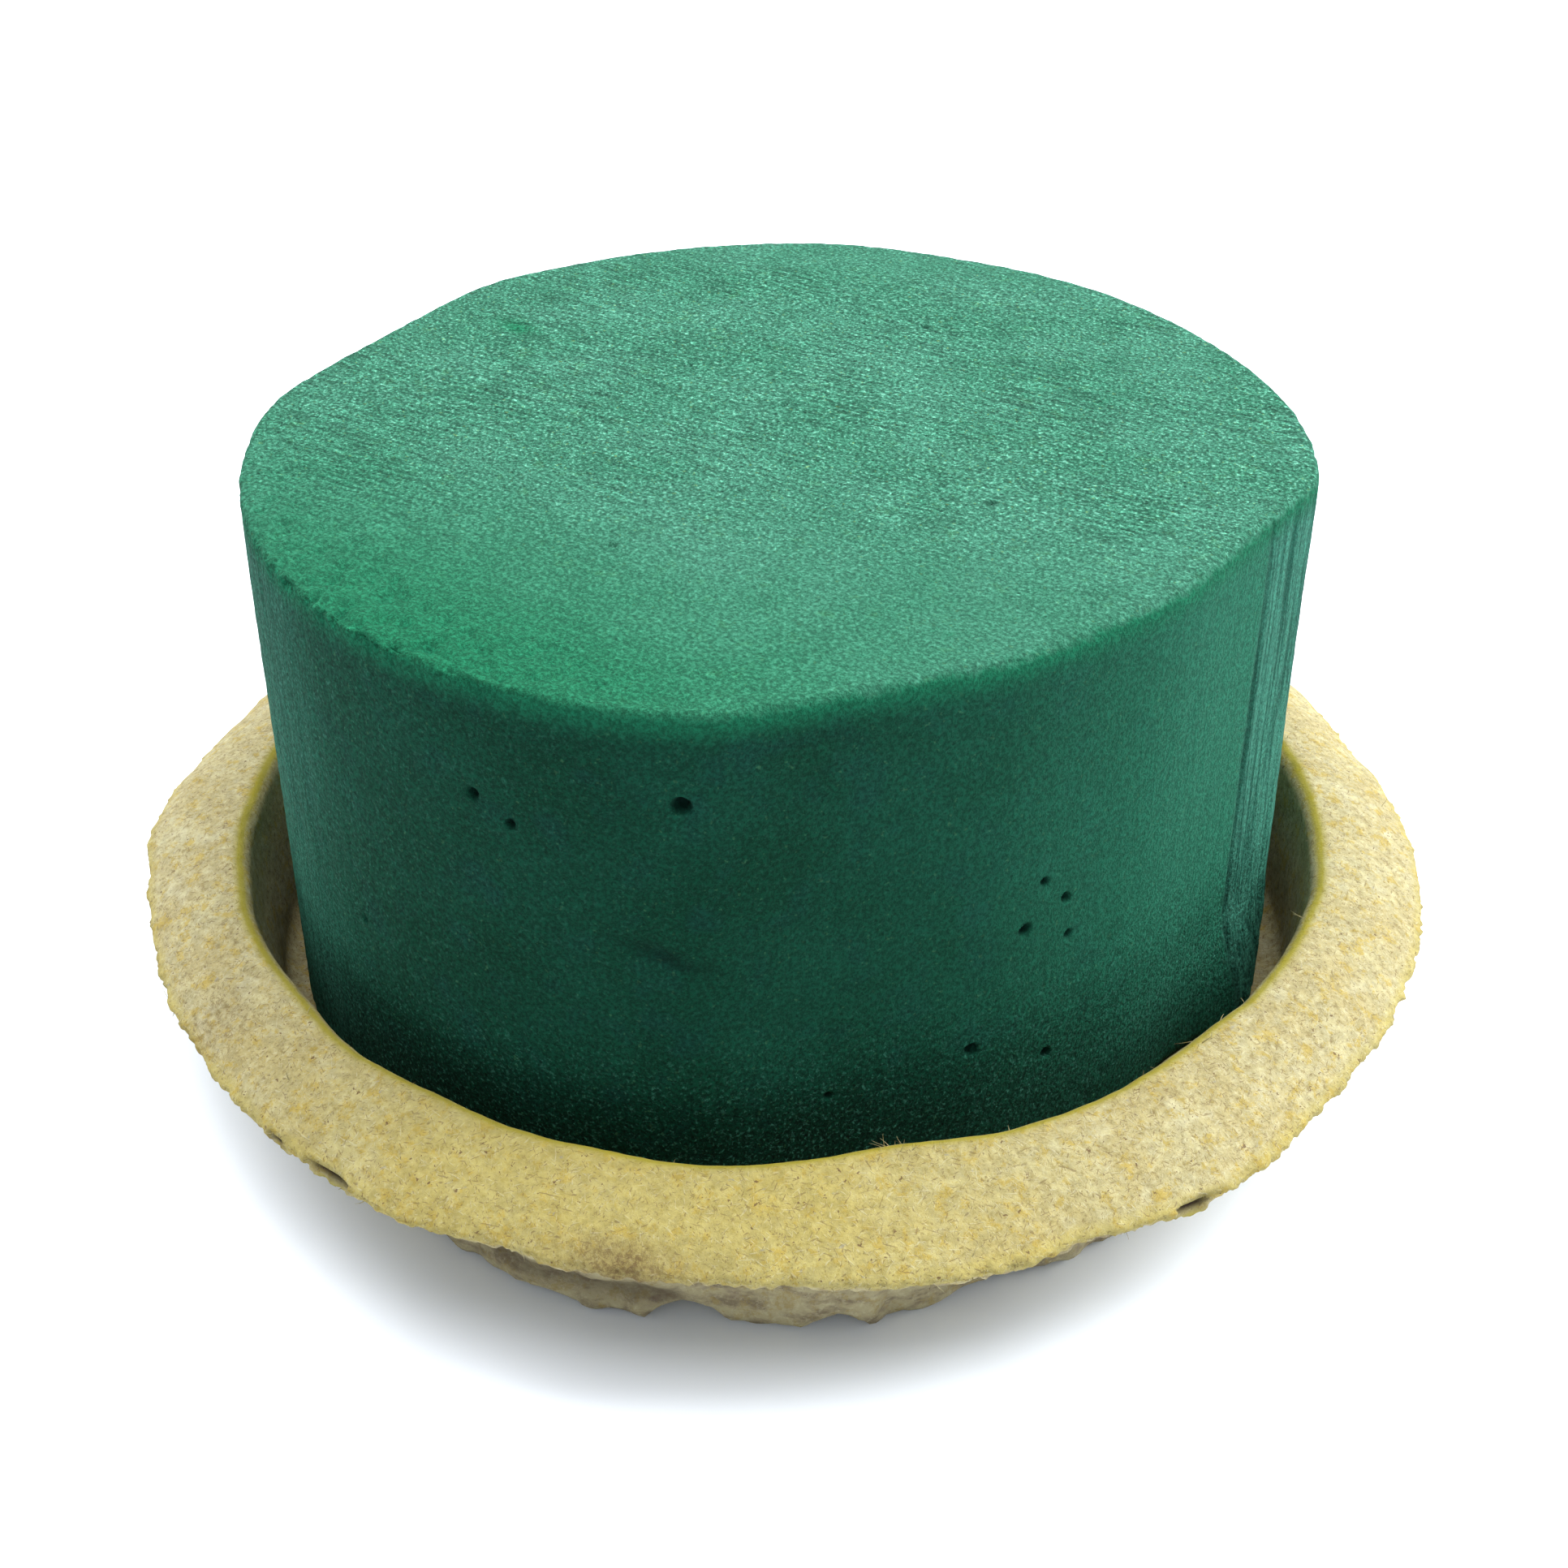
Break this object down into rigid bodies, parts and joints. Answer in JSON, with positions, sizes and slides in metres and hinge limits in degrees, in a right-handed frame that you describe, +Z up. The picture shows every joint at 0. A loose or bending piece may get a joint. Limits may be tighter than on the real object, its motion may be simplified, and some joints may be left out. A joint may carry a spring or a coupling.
{
  "type": "floral foam round in a moulded pulp dish",
  "caption": "Cylinder of green wet floral foam glued into a round moulded-pulp dish with an arched flange; a base for flower arrangements.",
  "frame": {"origin": "centre of the dish's foot, on the surface that it stands on", "axes": "+Z up along the axis of the dish and the foam; +X towards the foam's deeper flat"},
  "size_m": [0.1426, 0.1426, 0.066],
  "materials": {
    "pulp": "matte",
    "foam": "matte",
    "glue": "satin"
  },
  "bodies": {
    "root": {"pulp_dish": "pulp", "floral_foam": "foam", "glue_dab_1": "glue", "glue_dab_2": "glue", "glue_dab_3": "glue", "glue_dab_4": "glue", "glue_dab_5": "glue"}
  },
  "joints": []
}
